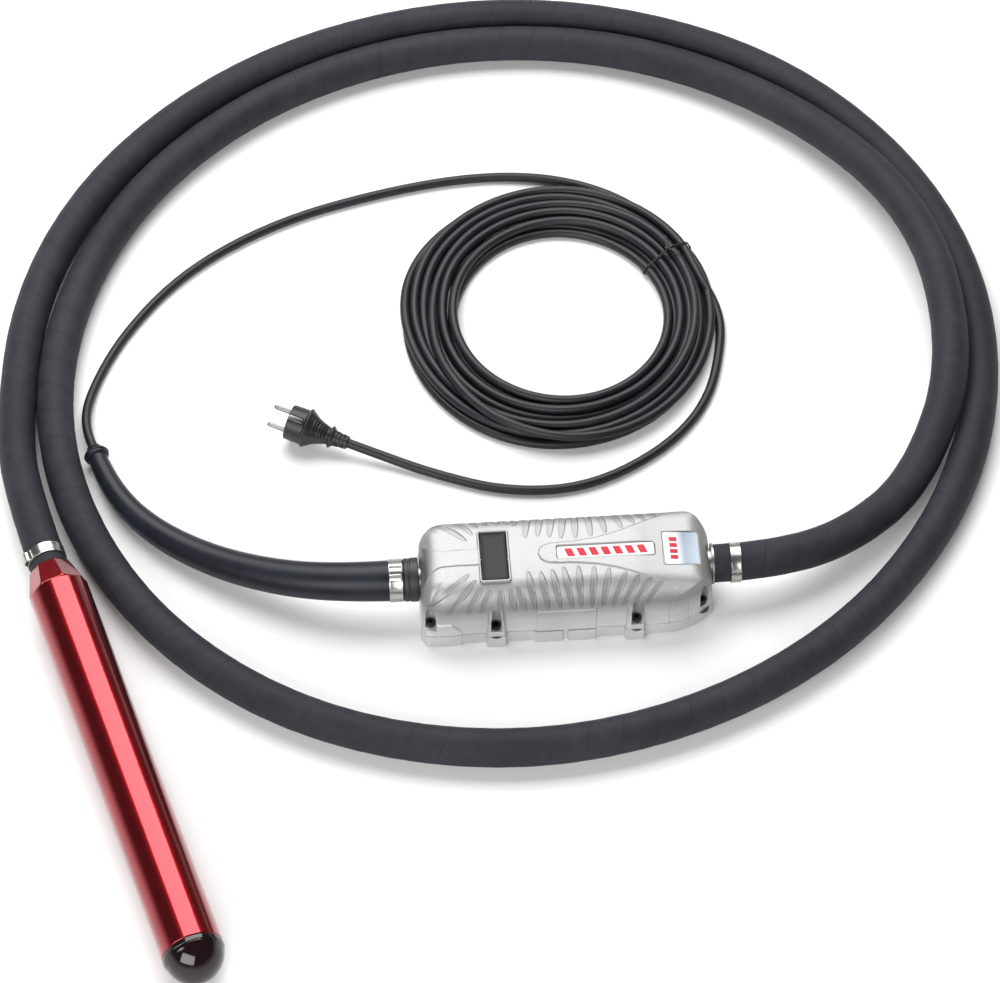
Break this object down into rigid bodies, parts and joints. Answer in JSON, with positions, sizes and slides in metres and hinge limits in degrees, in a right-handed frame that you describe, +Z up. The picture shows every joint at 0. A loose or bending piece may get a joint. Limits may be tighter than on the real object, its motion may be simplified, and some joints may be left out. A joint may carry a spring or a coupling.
{
  "type": "concrete vibrator",
  "caption": "Internal poker vibrator for concrete: steel head on a long hose, in-line converter box, tapered hose, coiled mains cable and plug.",
  "frame": {"origin": "floor point under the middle of the converter, in the plane of its feet", "axes": "+X along the converter from its mains end to its hose end, +Y away from the user, +Z up"},
  "size_m": [1.0056, 1.1917, 0.0764],
  "materials": {
    "head_red": "glossy lacquer",
    "tip_dark": "glossy dark lacquer",
    "hose_rubber": "cloth-wrapped matte",
    "tail_rubber": "glossy",
    "cable_rubber": "satin",
    "tie_cord": "matte",
    "clamp_steel": "bright stainless",
    "plug_rubber": "matte moulded",
    "plug_metal": "nickel plated",
    "cast_aluminium": "fine blasted die casting",
    "gasket_rubber": "matte",
    "black_steel": "black oxide",
    "rocker_plastic": "fine textured",
    "black_plastic": "matte",
    "bearing_steel": "ground",
    "machined_steel": "turned",
    "lamination": "stacked sheet",
    "copper": "enamelled copper",
    "board_green": "solder mask",
    "sink_aluminium": "extruded",
    "terminal_plastic": "moulded",
    "badge": "plain plate",
    "label": "striped strip"
  },
  "bodies": {
    "base": {"head_tube": "head_red", "head_adapter": "head_red", "head_tip": "tip_dark", "head_seals": "gasket_rubber", "stator_core": "lamination", "stator_windings": "copper", "preload_washer": "bearing_steel", "lead_splice": "black_plastic", "bearing_carriers": "machined_steel", "outer_races": "bearing_steel", "main_hose": "hose_rubber", "motor_lead": "cable_rubber", "tail_hose": "tail_rubber", "inner_cable": "cable_rubber", "tail_grommet": "tail_rubber", "supply_cable": "cable_rubber", "plug_cable": "cable_rubber", "cable_coil": "cable_rubber", "cable_tie": "tie_cord", "head_hose_clamp": "clamp_steel", "outlet_hose_clamp": "clamp_steel", "tail_hose_clamp": "clamp_steel", "plug_body": "plug_rubber", "plug_pins": "plug_metal", "plug_earth_clips": "plug_metal", "plug_relief": "plug_rubber", "upper_housing": "cast_aluminium", "lower_housing": "cast_aluminium", "housing_gasket": "gasket_rubber", "housing_screws": "black_steel", "switch_frame": "black_plastic", "switch_pivot_pin": "bearing_steel", "rocker_springs": "bearing_steel", "switch_sensor": "black_plastic", "circuit_board": "board_green", "board_standoffs": "bearing_steel", "board_screws": "bearing_steel", "power_module": "black_plastic", "heat_sink": "sink_aluminium", "capacitors": "black_plastic", "choke": "copper", "line_filter": "black_plastic", "mains_terminals": "terminal_plastic", "motor_terminals": "terminal_plastic", "outlet_spigot": "machined_steel", "inlet_spigot": "machined_steel", "spigot_nuts": "machined_steel", "inlet_collar": "tail_rubber", "badge_plate": "badge", "label_insert": "label"},
    "rotor": {"rotor_shaft": "bearing_steel", "rotor_core": "lamination", "eccentric_weight": "machined_steel", "inner_races": "bearing_steel", "shaft_circlips": "bearing_steel"},
    "upper_cage": {"upper_roller_set": "bearing_steel"},
    "middle_cage": {"middle_roller_set": "bearing_steel"},
    "lower_cage": {"lower_roller_set": "bearing_steel"},
    "rocker": {"switch_rocker": "rocker_plastic", "rocker_magnets": "bearing_steel"}
  },
  "joints": [
    {"name": "rotor_spin", "type": "hinge", "parent": "base", "child": "rotor", "pos_m": [-0.4207, -0.1957, 0.029], "axis": [0.284, -0.9588, 0], "continuous": true},
    {"name": "rocker_tilt", "type": "hinge", "parent": "base", "child": "rocker", "pos_m": [-0.068, 0, 0.069], "axis": [1, 0, 0], "range_deg": [-4, 4], "stiffness_Nm_per_rad": 0.6},
    {"name": "upper_cage_spin", "type": "hinge", "parent": "base", "child": "upper_cage", "pos_m": [-0.46188, -0.05668, 0.029], "axis": [0.284, -0.9588, 0], "continuous": true},
    {"name": "middle_cage_spin", "type": "hinge", "parent": "base", "child": "middle_cage", "pos_m": [-0.41814, -0.20433, 0.029], "axis": [0.284, -0.9588, 0], "continuous": true},
    {"name": "lower_cage_spin", "type": "hinge", "parent": "base", "child": "lower_cage", "pos_m": [-0.3744, -0.35199, 0.029], "axis": [0.284, -0.9588, 0], "continuous": true}
  ],
  "couplings": [
    {"joint": "upper_cage_spin", "follows": "rotor_spin", "ratio": 0.3952},
    {"joint": "middle_cage_spin", "follows": "rotor_spin", "ratio": 0.3952},
    {"joint": "lower_cage_spin", "follows": "rotor_spin", "ratio": 0.3952}
  ]
}
